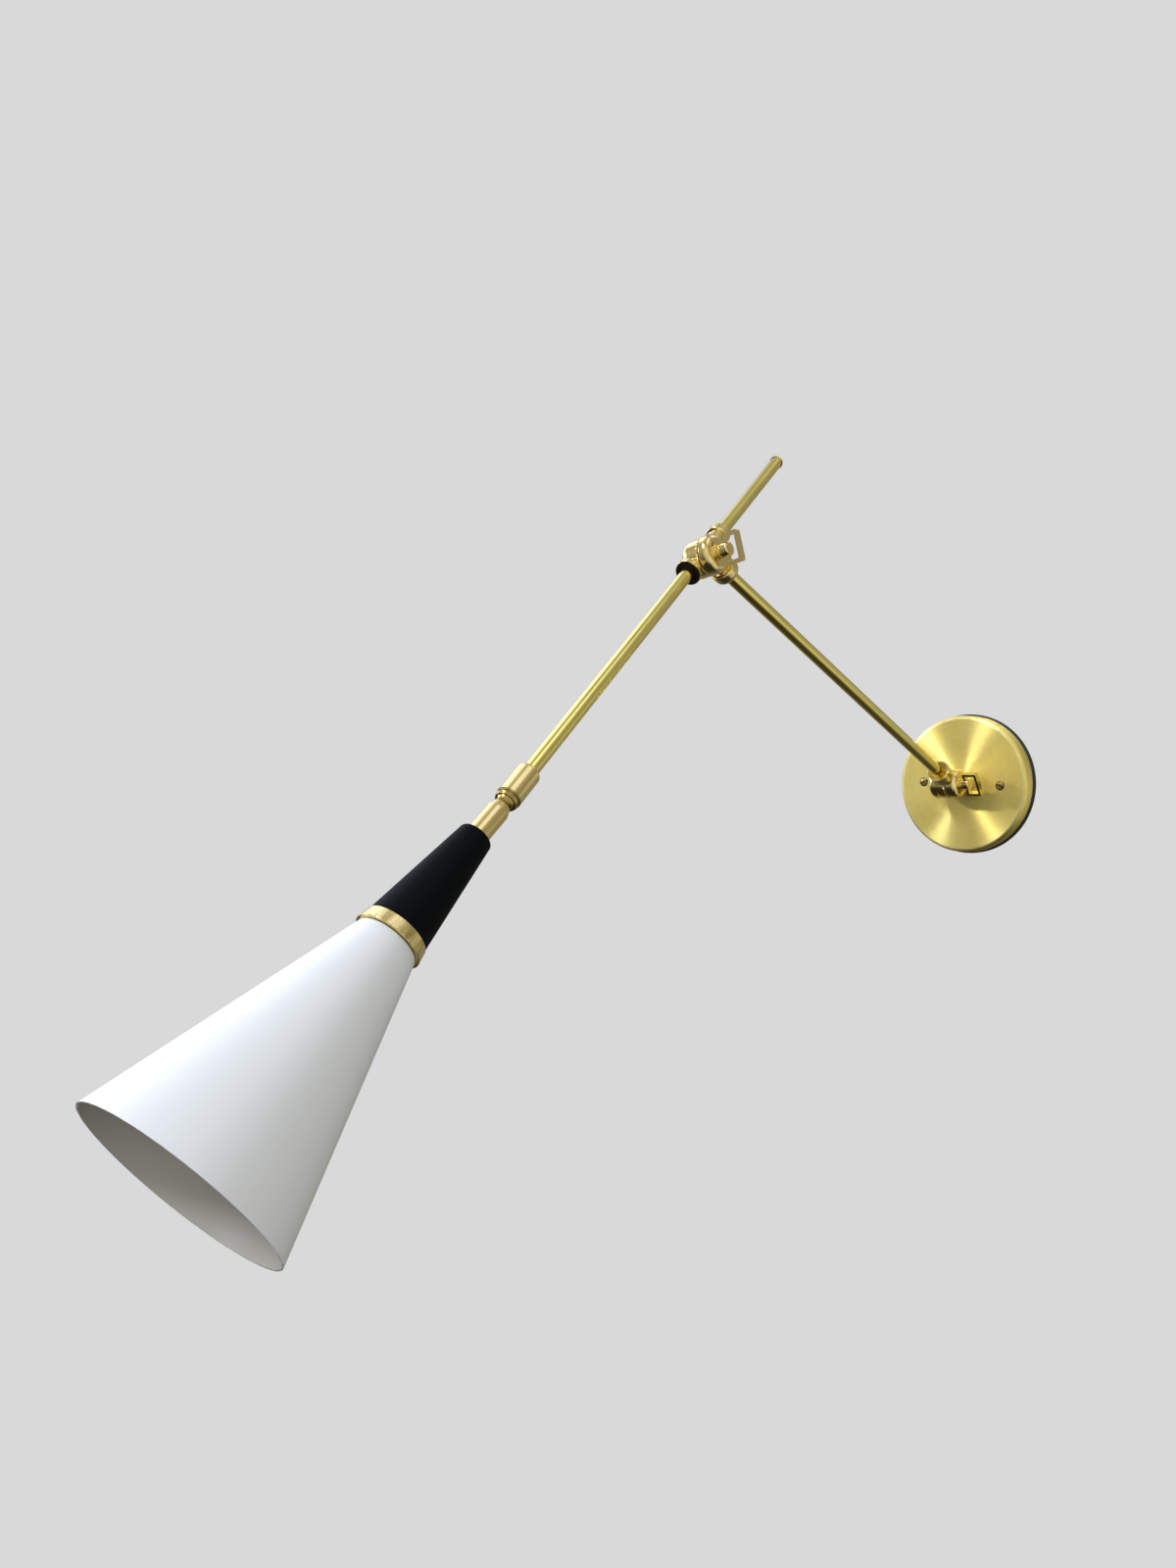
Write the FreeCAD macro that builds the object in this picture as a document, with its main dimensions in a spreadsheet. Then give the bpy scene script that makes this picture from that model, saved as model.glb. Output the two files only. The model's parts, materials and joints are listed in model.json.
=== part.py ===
# Articulating wall lamp: round wall plate, clamp knuckle, arm, elbow with a
# sliding second arm, ball swivel and a cone shade.
# Millimetres. Origin: centre of the wall face. +Z up, the wall is the plane
# Y = 0 and the lamp stands out from it towards -Y. +X is to the right.
import FreeCAD, Part
import Sketcher
import math
import os
from FreeCAD import Vector, Placement, Matrix

doc = FreeCAD.newDocument("wall_lamp")
sheet = doc.addObject("Spreadsheet::Sheet", "Sheet")

CELLS = [
    # tubes
    ("tube_dia", 9.5), ("tube_wall", 0.9),
    # wall plate and gasket
    ("plate_dia", 124.0), ("plate_depth", 12.0), ("plate_wall", 1.3), ("plate_round", 3.2),
    ("gasket_dia", 127.0), ("gasket_bore", 114.0), ("gasket_thick", 3.0),
    ("screw_spacing", 75.0), ("screw_hole_dia", 4.4),
    # swivel in the plate
    ("bush_bore", 10.16), ("bush_dia", 16.0), ("bush_flange_dia", 21.0), ("bush_flange", 1.7),
    ("shank_dia", 10.0), ("pivot_out", 32.0),
    # knuckles, along the pivot axis and around it
    ("disc_dia", 26.0), ("disc_thick", 9.4), ("disc_round", 4.2),
    ("elbow_disc_dia", 28.6), ("elbow_disc_thick", 8.4), ("elbow_disc_round", 4.8),
    ("drum_dia", 25.2), ("drum_len", 16.1), ("drum_round", 3.6),
    ("hub_dia", 27.6), ("hub_len", 16.5), ("hub_round", 8.0),
    ("part_gap", 0.5), ("neck_dia", 13.5), ("neck_reach", 19.5), ("seat_depth", 5.0),
    ("clear_rad", 0.4), ("neck_relief", 16.5), ("pin_dia", 6.0), ("pin_bore", 6.1),
    # collars
    ("collar_dia", 20.0), ("collar_bore", 17.4), ("collar_len", 9.5), ("collar_floor", 2.5), ("low_collar_len", 5.0), ("low_collar_floor", 1.8), ("bell_dia", 19.4), ("bell_len", 9.6), ("bell_cup", 4.2),
    # thumb keys
    ("boss_dia", 10.4), ("loop_at", 13.8), ("hub_knob", 4.6), ("loop_long", 22.0), ("loop_short", 13.0),
    ("loop_bar", 2.2), ("loop_deep", 5.0), ("loop_round", 1.3),
    # arms at rest
    ("swivel_rest", 2.34), ("arm1_rise", 25.75), ("arm1_len", 372.6),
    ("elbow_twist", 11.6), ("elbow_bend", 63.38), ("elbow_offset", 9.2),
    # sleeve on the elbow
    ("sleeve_dia", 13.0), ("sleeve_bore", 11.2), ("sleeve_low", 19.2), ("sleeve_high", 41.0),
    ("sleeve_collar_dia", 18.8), ("sleeve_collar_bore", 16.8), ("high_collar_dia", 16.6), ("high_collar_bore", 14.6),
    ("high_collar_len", 7.0), ("high_collar_floor", 2.2), ("bush_inner", 9.6), ("liner_len", 8.0),
    # second arm
    ("tail_len", 164.0), ("coupler_at", 251.5), ("coupler_dia", 15.0), ("coupler_len", 24.0),
    ("ball_dia", 12.0), ("ball_bore", 12.2), ("ball_at", 277.0), ("retainer_len", 3.95),
    # head, distances from the ball centre along the head axis
    ("head_bend", 7.9),
    ("stem_dia", 13.2), ("stem_top_dia", 10.7), ("stem_at", 5.9), ("stem_cone", 4.2), ("stem_end", 38.2),
    ("neck_at", 30.0), ("neck_end", 100.6), ("neck_top_dia", 19.6), ("neck_low_dia", 35.4), ("neck_skin", 1.2),
    ("ring_end", 108.0), ("ring_top_dia", 36.4), ("ring_low_dia", 39.0),
    ("shade_at", 108.3), ("shade_top_dia", 35.0), ("shade_end", 253.5), ("shade_mouth_dia", 112.8), ("shade_skin", 1.0),
    ("holder_dia", 27.6), ("holder_at", 62.0), ("holder_end", 121.0), ("holder_bore", 15.8),
]
for i, (alias, number) in enumerate(CELLS):
    sheet.set("A%d" % (i + 1), alias.replace("_", " "))
    sheet.set("B%d" % (i + 1), str(number))
    sheet.setAlias("B%d" % (i + 1), alias)
doc.recompute()


class Size(object):
    """A length that keeps its number and the expression that drives it."""
    def __init__(self, number, text):
        self.v = float(number)
        self.t = text
    def __add__(self, o):
        o = size(o); return Size(self.v + o.v, "(%s + %s)" % (self.t, o.t))
    def __radd__(self, o):
        return size(o) + self
    def __sub__(self, o):
        o = size(o); return Size(self.v - o.v, "(%s - %s)" % (self.t, o.t))
    def __rsub__(self, o):
        return size(o) - self
    def __mul__(self, k):
        return Size(self.v * k, "(%s * %s)" % (self.t, repr(float(k))))
    __rmul__ = __mul__
    def __truediv__(self, k):
        return Size(self.v / k, "(%s / %s)" % (self.t, repr(float(k))))


def size(x):
    return x if isinstance(x, Size) else Size(x, repr(float(x)))


def S(alias):
    return Size(sheet.get(alias), "Sheet." + alias)


def num(alias):
    return float(sheet.get(alias))


NODES = {}


def keep(obj, name, place=None):
    obj.Label = name
    NODES[name] = obj
    if place is not None:
        obj.Placement = place
    return obj


def origin_plane(body, role):
    for f in body.Origin.OriginFeatures:
        if f.Role == role:
            return f
    raise ValueError(role)


def frame(origin, z, x):
    """Placement that puts local Z along z and local X as near x as it can."""
    z = Vector(z).normalize()
    x = Vector(x) - z * Vector(x).dot(z)
    x.normalize()
    y = z.cross(x)
    m = Matrix(x.x, y.x, z.x, origin.x,
               x.y, y.y, z.y, origin.y,
               x.z, y.z, z.z, origin.z,
               0, 0, 0, 1)
    return Placement(m)


def fix_point(sk, geo, pos, x, y, tag):
    """Tie a sketch point to the sheet by its two distances from the origin."""
    for axis, s, kind in (("a", x, "DistanceX"), ("b", y, "DistanceY")):
        if s.v == 0.0:
            sk.addConstraint(Sketcher.Constraint("PointOnObject", geo, pos, -2 if kind == "DistanceX" else -1))
        else:
            n = sk.addConstraint(Sketcher.Constraint(kind, -1, 1, geo, pos, s.v))
            sk.renameConstraint(n, axis + tag)
            sk.setExpression("Constraints." + axis + tag, s.t)


def outline(sk, pts, tag=""):
    first = sk.GeometryCount
    n = len(pts)
    for i in range(n):
        a, b = pts[i], pts[(i + 1) % n]
        sk.addGeometry(Part.LineSegment(Vector(a[0].v, a[1].v, 0), Vector(b[0].v, b[1].v, 0)), False)
    for i in range(n):
        sk.addConstraint(Sketcher.Constraint("Coincident", first + i, 2, first + (i + 1) % n, 1))
    for i, p in enumerate(pts):
        fix_point(sk, first + i, 1, p[0], p[1], "%s%d" % (tag, i))


def new_sketch(body, name, role):
    sk = body.newObject("Sketcher::SketchObject", name)
    sk.AttachmentSupport = [(origin_plane(body, role), "")]
    sk.MapMode = "FlatFace"
    return sk


def circle_edges(shape, radius, level, tol=0.02):
    found = []
    for i, e in enumerate(shape.Edges):
        c = e.Curve
        if c.TypeId == "Part::GeomCircle" and abs(c.Radius - radius) < tol and abs(c.Center.z - level) < tol:
            found.append("Edge%d" % (i + 1))
    return found


def turned(name, pts, rounds=(), place=None, node=True):
    """A turned piece: a closed outline of (radius, height) pairs spun about local Z."""
    pts = [(size(a), size(b)) for a, b in pts]
    body = doc.addObject("PartDesign::Body", name)
    sk = new_sketch(body, name + "_profile", "XZ_Plane")
    outline(sk, pts)
    rev = body.newObject("PartDesign::Revolution", name + "_turn")
    rev.Profile = sk
    rev.ReferenceAxis = (sk, ["V_Axis"])
    rev.Angle = 360.0
    body.Tip = rev
    doc.recompute()
    k = 0
    for radius, level, r in rounds:
        edges = circle_edges(body.Tip.Shape, size(radius).v, size(level).v)
        if not edges:
            raise RuntimeError("no edge to round on %s at radius %g, height %g" % (name, size(radius).v, size(level).v))
        before = body.Tip
        f = body.newObject("PartDesign::Fillet", "%s_round%d" % (name, k))
        f.Base = (before, edges)
        f.Radius = size(r).v
        if isinstance(r, Size):
            f.setExpression("Radius", r.t)
        body.Tip = f
        doc.recompute()
        if "Invalid" in f.State:
            raise RuntimeError("round %g mm does not fit on %s at radius %g" % (size(r).v, name, size(radius).v))
        k += 1
    if node:
        keep(body, name, place)
    elif place is not None:
        body.Placement = place
    return body


def cylinder(name, radius, height, base, axis):
    """A plain cylinder used inside a boolean, from base along axis."""
    c = doc.addObject("Part::Cylinder", name)
    radius, height = size(radius), size(height)
    c.Radius = radius.v
    c.Height = height.v
    c.setExpression("Radius", radius.t)
    c.setExpression("Height", height.t)
    side = Vector(0, 1, 0) if abs(Vector(axis).dot(Vector(0, 1, 0))) < 0.9 else Vector(1, 0, 0)
    c.Placement = frame(Vector(base), Vector(axis), side)
    return c


def cut(name, base, tool):
    o = doc.addObject("Part::Cut", name)
    o.Base = base
    o.Tool = tool
    return o


def fuse(name, shapes):
    o = doc.addObject("Part::MultiFuse", name)
    o.Shapes = shapes
    o.Refine = True
    return o


# ---------------------------------------------------------------- directions
rad = math.radians
out = Vector(0, -1, 0)
sw = rad(num("swivel_rest"))
N1 = Vector(math.cos(sw), 0, math.sin(sw))              # pivot at the wall
U1 = Vector(-math.sin(sw), 0, math.cos(sw))
e1 = rad(num("arm1_rise"))
A1 = out * math.cos(e1) + U1 * math.sin(e1)             # arm 1, away from the wall
tw = rad(num("elbow_twist"))
N2 = N1 * math.cos(tw) + A1.cross(N1) * math.sin(tw)    # pivot at the elbow
b2 = rad(num("elbow_bend"))
A2 = A1 * math.cos(b2) + N2.cross(A1) * math.sin(b2)    # arm 2, towards the head
# the head leans from arm 2 about an axis square to it
LEAN = Vector(0.3846, 0.6162, -0.6868)
LEAN = (LEAN - A2 * LEAN.dot(A2)).normalize()
hb = rad(num("head_bend"))
A3 = A2 * math.cos(hb) + LEAN.cross(A2) * math.sin(hb)

JW = out * num("pivot_out")
E1 = JW + A1 * num("arm1_len")
E2 = E1 - N2 * num("elbow_offset")
BALL = E2 + A2 * num("ball_at")

wall = frame(Vector(0, 0, 0), out, Vector(1, 0, 0))     # local Z = distance from the wall

# ---------------------------------------------------------------- wall plate
R = S("plate_dia") / 2
front = S("gasket_thick") + S("plate_depth")
w = S("plate_wall")
gt = S("gasket_thick")
cup = turned("wall_plate_cup",
             [(S("bush_dia") / 2, front - w), (R - w, front - w), (R - w, gt), (R, gt), (R, front), (S("bush_dia") / 2, front)],
             rounds=[(R, front, S("plate_round")), (R - w, front - w, 2.2)], node=False)
h1 = cylinder("plate_hole_a", S("screw_hole_dia") / 2, S("plate_depth"), (0, 0, 0), (0, 0, 1))
h2 = cylinder("plate_hole_b", S("screw_hole_dia") / 2, S("plate_depth"), (0, 0, 0), (0, 0, 1))
for h, s in ((h1, 1), (h2, -1)):
    h.setExpression("Placement.Base.x", "%d * Sheet.screw_spacing / 2" % s)
    h.setExpression("Placement.Base.z", "Sheet.gasket_thick + 1")
holes = fuse("plate_holes", [h1, h2])
keep(cut("wall_plate", cup, holes), "wall_plate", wall)

turned("wall_gasket",
       [(S("gasket_bore") / 2, 0), (S("gasket_dia") / 2, 0), (S("gasket_dia") / 2, gt), (S("gasket_bore") / 2, gt)],
       rounds=[(S("gasket_dia") / 2, gt, 0.6)], place=wall)

# bush that the knuckle swivels in: flange on the front, body through the plate
turned("swivel_bush",
       [(S("bush_bore") / 2, front - 6.0), (S("bush_dia") / 2, front - 6.0), (S("bush_dia") / 2, front),
        (S("bush_flange_dia") / 2, front), (S("bush_flange_dia") / 2, front + S("bush_flange")),
        (S("bush_bore") / 2, front + S("bush_flange"))],
       rounds=[(S("bush_flange_dia") / 2, front + S("bush_flange"), 0.7)], place=wall)


def hexagon(name, flats, thick, bore, level, place):
    """Hexagon nut: a padded hexagon with a bore, its lower face at level."""
    body = doc.addObject("PartDesign::Body", name)
    sk = new_sketch(body, name + "_hex", "XY_Plane")
    flats = size(flats)
    c = [(math.cos(rad(60 * i)) / math.cos(rad(30)) / 2, math.sin(rad(60 * i)) / math.cos(rad(30)) / 2) for i in range(6)]
    pts = [(flats * a if abs(a) > 1e-9 else size(0), flats * b if abs(b) > 1e-9 else size(0)) for a, b in c]
    outline(sk, pts)
    n = sk.addGeometry(Part.Circle(Vector(0, 0, 0), Vector(0, 0, 1), size(bore).v / 2), False)
    sk.addConstraint(Sketcher.Constraint("Coincident", n, 3, -1, 1))
    m = sk.addConstraint(Sketcher.Constraint("Diameter", n, size(bore).v))
    sk.renameConstraint(m, "bore")
    sk.setExpression("Constraints.bore", size(bore).t)
    pad = body.newObject("PartDesign::Pad", name + "_pad")
    pad.Profile = sk
    pad.Length = size(thick).v
    pad.setExpression("Length", size(thick).t)
    body.Tip = pad
    keep(body, name, place.multiply(Placement(Vector(0, 0, size(level).v), FreeCAD.Rotation())))
    return body


hexagon("bush_nut", 22.0, 3.6, S("bush_dia") + 0.02, front - w - 3.7, wall)

# terminal block and earth screw inside the plate
block = doc.addObject("Part::Box", "block_body")
block.Length, block.Width, block.Height = 20.0, 9.0, 8.0
block.Placement = Placement(Vector(-10, -38, 5.0), FreeCAD.Rotation())
bores = [cylinder("block_bore%d" % i, 1.6, 12.0, (x, -40.0, 8.0), (0, 1, 0)) for i, x in enumerate((-5.0, 5.0))]
wells = [cylinder("block_well%d" % i, 1.75, 5.0, (x, -33.5, 3.5), (0, 0, 1)) for i, x in enumerate((-5.0, 5.0))]
keep(cut("terminal_block", block, fuse("block_holes", bores + wells)), "terminal_block", wall)
screws = []
for i, x in enumerate((-5.0, 5.0)):
    s0 = cylinder("terminal_screw_body%d" % i, 1.6, 2.2, (x, -33.5, 4.2), (0, 0, 1))
    slot = doc.addObject("Part::Box", "terminal_slot%d" % i)
    slot.Length, slot.Width, slot.Height = 4.0, 0.6, 0.7
    slot.Placement = Placement(Vector(x - 2.0, -33.8, 3.9), FreeCAD.Rotation())
    screws.append(cut("terminal_screw%d" % i, s0, slot))
group = doc.addObject("Part::Compound", "terminal_screws")
group.Links = screws
keep(group, "terminal_screws", wall)
turned("earth_screw",
       [(0, 6.0), (3.2, 6.0), (3.2, 8.2), (2.0, 8.2), (2.0, front - w - 0.02), (0, front - w - 0.02)],
       rounds=[(3.2, 6.0, 0.8)],
       place=wall.multiply(Placement(Vector(0, 40, 0), FreeCAD.Rotation())))


# ---------------------------------------------------------------- knuckles
gap = S("part_gap")
hole_r = S("pin_bore") / 2


def knuckle(name, turned_body, mate_r, above, neck_len, bores, place, neck_at=0.0, neck_r=None):
    """One half of a clamp knuckle. Local Z is the pivot axis with the parting
    plane at 0, local X the way the neck points. The neck straddles the parting
    plane, so what reaches over the other half is cut back to clear it."""
    neck_r = neck_r or S("neck_dia") / 2
    neck = cylinder(name + "_neck", neck_r, neck_len, (0, 0, neck_at), (1, 0, 0))
    clear = size(mate_r) + S("clear_rad")
    if above:      # the mate lies above the parting plane
        room = cylinder(name + "_room", clear, 30.0, (0, 0, -gap.v), (0, 0, 1))
    else:
        room = cylinder(name + "_room", clear, 30.0, (0, 0, gap.v - 30.0), (0, 0, 1))
    arm = cut(name + "_arm", neck, room)
    whole = fuse(name + "_whole", [turned_body, arm])
    tools = fuse(name + "_tools", bores) if len(bores) > 1 else bores[0]
    return keep(cut(name, whole, tools), name, place)


# wall side: disc half on the swivel shank, pointing back at the wall
wk = frame(JW, N1, Vector(0, 1, 0))
dr = S("disc_dia") / 2
disc1 = turned("wall_disc_body", [(hole_r, gap), (dr, gap), (dr, gap + S("disc_thick")), (hole_r, gap + S("disc_thick"))],
               rounds=[(dr, gap + S("disc_thick"), S("disc_round")), (dr, gap, 0.8)], node=False)
reach = S("pivot_out") - front - S("bush_flange") - 0.06
b1 = cylinder("wall_disc_bore", hole_r, 40.0, (0, 0, -15), (0, 0, 1))
neck1 = cylinder("wall_disc_neck", S("neck_dia") / 2, reach, (0, 0, 0), (1, 0, 0))
shank1 = cylinder("wall_disc_shank", S("shank_dia") / 2, 27.4, (0, 0, 0), (1, 0, 0))
room1 = cylinder("wall_disc_room", S("drum_dia") / 2 + S("clear_rad"), 30.0, (0, 0, gap.v - 30.0), (0, 0, 1))
post1 = fuse("wall_disc_post", [neck1, shank1])
arm1_ = cut("wall_disc_arm", post1, room1)
wire1 = cylinder("wall_disc_wireway", 2.6, 20.0, (9.0, 0, 0), (1, 0, 0))
whole1 = fuse("wall_disc_whole", [disc1, arm1_])
keep(cut("wall_knuckle_disc", whole1, fuse("wall_disc_tools", [b1, wire1])), "wall_knuckle_disc", wk)

# washer and nut that hold the shank in the bush, inside the plate
turned("swivel_washer", [(S("shank_dia") / 2 + 0.05, 7.9), (8.6, 7.9), (8.6, front - 6.1), (S("shank_dia") / 2 + 0.05, front - 6.1)], place=wall)
hexagon("swivel_nut", 16.0, 2.9, S("shank_dia") + 0.02, 4.9, wall)

fw = gap * 2.0 - 0.08
turned("wall_friction_washer", [(hole_r + 0.1, 0), (10.0, 0), (10.0, fw), (hole_r + 0.1, fw)],
       place=frame(JW + N1 * (num("part_gap") - fw.v - 0.02), N1, out))

# wall side: drum half that carries arm 1
ak = frame(JW, N1, A1)
qr = S("drum_dia") / 2
dl = S("drum_len")
drum_place = Placement(Vector(0, 0, -num("part_gap")), FreeCAD.Rotation(Vector(1, 0, 0), 180))
drum1 = turned("wall_drum_body",
               [(0, 0), (qr, 0), (qr, 6.4), (qr - 0.8, 6.8), (qr - 0.8, 7.8), (qr, 8.2), (qr, dl), (0, dl)],
               rounds=[(qr, dl, S("drum_round")), (qr, 0, 0.5)], node=False, place=drum_place)
neck_end = S("neck_reach")
knuckle("wall_knuckle_drum", drum1, S("disc_dia") / 2, True, neck_end,
        [cylinder("wall_drum_pin", hole_r, 11.0, (0, 0, -10.5), (0, 0, 1)),
         cylinder("wall_drum_seat", S("tube_dia") / 2 + 0.01, S("seat_depth") + 1.0, (num("neck_reach") - num("seat_depth"), 0, 0), (1, 0, 0))],
        ak)


def collar(name, place, dia, bore, floor_bore, soft):
    r, b = S(dia) / 2, S(bore) / 2
    return turned(name,
                  [(floor_bore, 0), (r, 0), (r, S("collar_len")), (b, S("collar_len")),
                   (b, S("collar_floor")), (floor_bore, S("collar_floor"))],
                  rounds=[(r, 0, soft), (r, S("collar_len"), 0.35)], place=place)


nb = S("neck_dia") / 2 + 0.01
collar("arm1_wall_collar", frame(JW + A1 * (num("neck_reach") - num("collar_floor")), A1, N1), "collar_dia", "collar_bore", nb, 1.6)

tr = S("tube_dia") / 2
ti = tr - S("tube_wall")
seat = num("neck_reach") - num("seat_depth")
tube1_len = S("arm1_len") - 2 * (S("neck_reach") - S("seat_depth"))
turned("arm1_tube", [(ti, 0), (tr, 0), (tr, tube1_len), (ti, tube1_len)], place=frame(JW + A1 * seat, A1, N1))

# ---------------------------------------------------------------- elbow
bell = S("bell_dia") / 2
turned("arm1_elbow_collar",
       [(nb, 0), (bell, 0), (bell, S("bell_len")), (tr + 0.02, S("bell_len")), (tr + 0.02, S("bell_cup")), (nb, S("bell_cup"))],
       rounds=[(bell, S("bell_len"), 4.2), (bell, 0, 1.6)],
       place=frame(E1 - A1 * (num("neck_reach") - num("bell_cup")), A1 * -1, N2))
ek = frame(E1, N2, A1 * -1)
er = S("elbow_disc_dia") / 2
et = gap + S("elbow_disc_thick")
disc2 = turned("elbow_disc_body", [(hole_r, gap), (er, gap), (er, et), (hole_r, et)],
               rounds=[(er, et, S("elbow_disc_round")), (er, gap, 0.8)], node=False)
knuckle("elbow_knuckle_disc", disc2, S("neck_relief"), False, neck_end,
        [cylinder("elbow_disc_pin", hole_r, 40.0, (0, 0, -15), (0, 0, 1)),
         cylinder("elbow_disc_seat", S("tube_dia") / 2 + 0.01, S("seat_depth") + 1.0, (num("neck_reach") - num("seat_depth"), 0, 0), (1, 0, 0))],
        ek)
turned("elbow_friction_washer", [(hole_r + 0.1, 0), (10.0, 0), (10.0, fw), (hole_r + 0.1, fw)],
       place=frame(E1 + N2 * (num("part_gap") - fw.v - 0.02), N2, A1))

# hub of the elbow: the drum that arm 2 slides through
sk_ = frame(E1, N2, A2)
hr = S("hub_dia") / 2
hl = S("hub_len")
hub_body = turned("elbow_hub_body", [(0, 0), (hr, 0), (hr, hl), (0, hl)],
                  rounds=[(hr, hl, S("hub_round")), (hr, 0, 0.6)], node=False,
                  place=Placement(Vector(0, 0, -num("part_gap")), FreeCAD.Rotation(Vector(1, 0, 0), 180)))
off = num("elbow_offset")
lo = num("sleeve_low") - num("low_collar_len") + num("low_collar_floor")
hi = num("sleeve_high") - num("high_collar_len") + num("high_collar_floor")
sleeve_core = cylinder("elbow_hub_sleeve", S("sleeve_dia") / 2,
                       S("sleeve_low") - S("low_collar_len") + S("low_collar_floor") + S("sleeve_high") - S("high_collar_len") + S("high_collar_floor"),
                       (-hi, 0, -off), (1, 0, 0))
hub_whole = fuse("elbow_hub_whole", [hub_body, sleeve_core])
hub_tools = fuse("elbow_hub_tools", [
    cylinder("elbow_hub_through", S("sleeve_bore") / 2, 90.0, (-hi - 5, 0, -off), (1, 0, 0)),
    cylinder("elbow_hub_pin", hole_r, 5.6, (0, 0, -5.6), (0, 0, 1))])
keep(cut("elbow_knuckle_hub", hub_whole, hub_tools), "elbow_knuckle_hub", sk_)

sb = S("sleeve_dia") / 2 + 0.01
turned("sleeve_lower_collar",
       [(sb, 0), (S("sleeve_collar_dia") / 2, 0), (S("sleeve_collar_dia") / 2, S("low_collar_len")),
        (S("sleeve_collar_bore") / 2, S("low_collar_len")), (S("sleeve_collar_bore") / 2, S("low_collar_floor")), (sb, S("low_collar_floor"))],
       rounds=[(S("sleeve_collar_dia") / 2, 0, 1.2), (S("sleeve_collar_dia") / 2, S("low_collar_len"), 0.4)],
       place=frame(E2 + A2 * (lo - num("low_collar_floor")), A2, N2))
turned("sleeve_upper_collar",
       [(sb, 0), (S("high_collar_dia") / 2, 0), (S("high_collar_dia") / 2, S("high_collar_len")),
        (S("high_collar_bore") / 2, S("high_collar_len")), (S("high_collar_bore") / 2, S("high_collar_floor")), (sb, S("high_collar_floor"))],
       rounds=[(S("high_collar_dia") / 2, 0, 1.2), (S("high_collar_dia") / 2, S("high_collar_len"), 0.35)],
       place=frame(E2 - A2 * (hi - num("high_collar_floor")), A2 * -1, N2))

liners = []
lips = (S("sleeve_collar_bore") / 2 - 0.05, S("high_collar_bore") / 2 - 0.05)
for i, (at, way) in enumerate(((lo, 1), (-hi, -1))):
    start = at - num("liner_len") if way > 0 else at
    body_ = cylinder("liner_body%d" % i, S("sleeve_bore") / 2 - 0.01, S("liner_len"), (start, 0, -off), (1, 0, 0))
    lip = cylinder("liner_lip%d" % i, lips[i], 2.6, (at + (0.02 if way > 0 else -2.62), 0, -off), (1, 0, 0))
    inner = cylinder("liner_inner%d" % i, S("bush_inner") / 2, 40.0, (at - 20, 0, -off), (1, 0, 0))
    liners.append(cut("liner%d" % i, fuse("liner_whole%d" % i, [body_, lip]), inner))
group = doc.addObject("Part::Compound", "sleeve_liners")
group.Links = liners
keep(group, "sleeve_liners", sk_)

turned("clamp_pad", [(0, 0), (2.6, 0), (2.6, 0.9), (0, 0.9)], rounds=[(2.6, 0, 0.25)],
       place=frame(E2 + N2 * (num("tube_dia") / 2 + 0.06), N2, A2))


# ---------------------------------------------------------------- thumb keys
def key(prefix, centre, pivot, down, tip, face):
    """Screw with a boss, a washer, and a flat strip bent into an open loop
    with a round knob where it grips the boss."""
    tip, face = size(tip), size(face)
    base = face + 0.85
    br, pr = S("boss_dia") / 2, S("pin_dia") / 2
    top = S("loop_at") + tip
    turned(prefix + "_key_screw",
           [(0, 0), (pr, 0), (pr, base + tip), (br, base + tip), (br, top), (0, top)],
           rounds=[(br, base + tip, 0.5)],
           place=frame(centre - pivot * tip.v, pivot, down))
    turned(prefix + "_key_washer", [(pr + 0.1, 0), (6.4, 0), (6.4, 0.8), (pr + 0.1, 0.8)],
           place=frame(centre + pivot * (face.v + 0.01), pivot, down))
    body = doc.addObject("PartDesign::Body", prefix + "_loop_body")
    sk = new_sketch(body, prefix + "_loop_outline", "XZ_Plane")
    a, c, t = S("loop_long") / 2, S("loop_short"), S("loop_bar")
    outline(sk, [(a * -1, size(0)), (a, size(0)), (a, c), (a * -1, c)], "o")
    outline(sk, [(t - a, t), (a - t, t), (a - t, c - t), (t - a, c - t)], "i")
    pad = body.newObject("PartDesign::Pad", prefix + "_loop_pad")
    pad.Profile = sk
    pad.Length = num("loop_deep")
    pad.setExpression("Length", "Sheet.loop_deep")
    if hasattr(pad, "SideType"):
        pad.SideType = "Symmetric"
    else:
        pad.Midplane = True
    body.Tip = pad
    doc.recompute()
    for radius, limit in ((num("loop_round"), num("loop_long") / 2), (0.7, num("loop_long") / 2 - num("loop_bar"))):
        edges = []
        for i, e in enumerate(body.Tip.Shape.Edges):
            v = [q.Point for q in e.Vertexes]
            if len(v) == 2 and abs(abs(v[0].y - v[1].y) - num("loop_deep")) < 0.01 and abs(abs(v[0].x) - limit) < 0.01:
                edges.append("Edge%d" % (i + 1))
        before = body.Tip
        f = body.newObject("PartDesign::Fillet", "%s_loop_round%d" % (prefix, int(radius * 10)))
        f.Base = (before, edges)
        f.Radius = radius
        body.Tip = f
        doc.recompute()
    knob = turned(prefix + "_loop_knob", [(0, 0), (br, 0), (br, S("hub_knob")), (0, S("hub_knob"))],
                  rounds=[(br, S("hub_knob"), 1.5)], node=False)
    keep(fuse(prefix + "_key_loop", [body, knob]), prefix + "_key_loop",
         frame(centre + pivot * (num("loop_at") + 0.01), pivot, down))


key("wall", JW, N1, Vector(0, math.sin(rad(31)), -math.cos(rad(31))), 9.5, gap + S("disc_thick"))
key("elbow", E1, N2, Vector(0.2106, 0.1240, -0.9697), 3.4, et)

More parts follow.
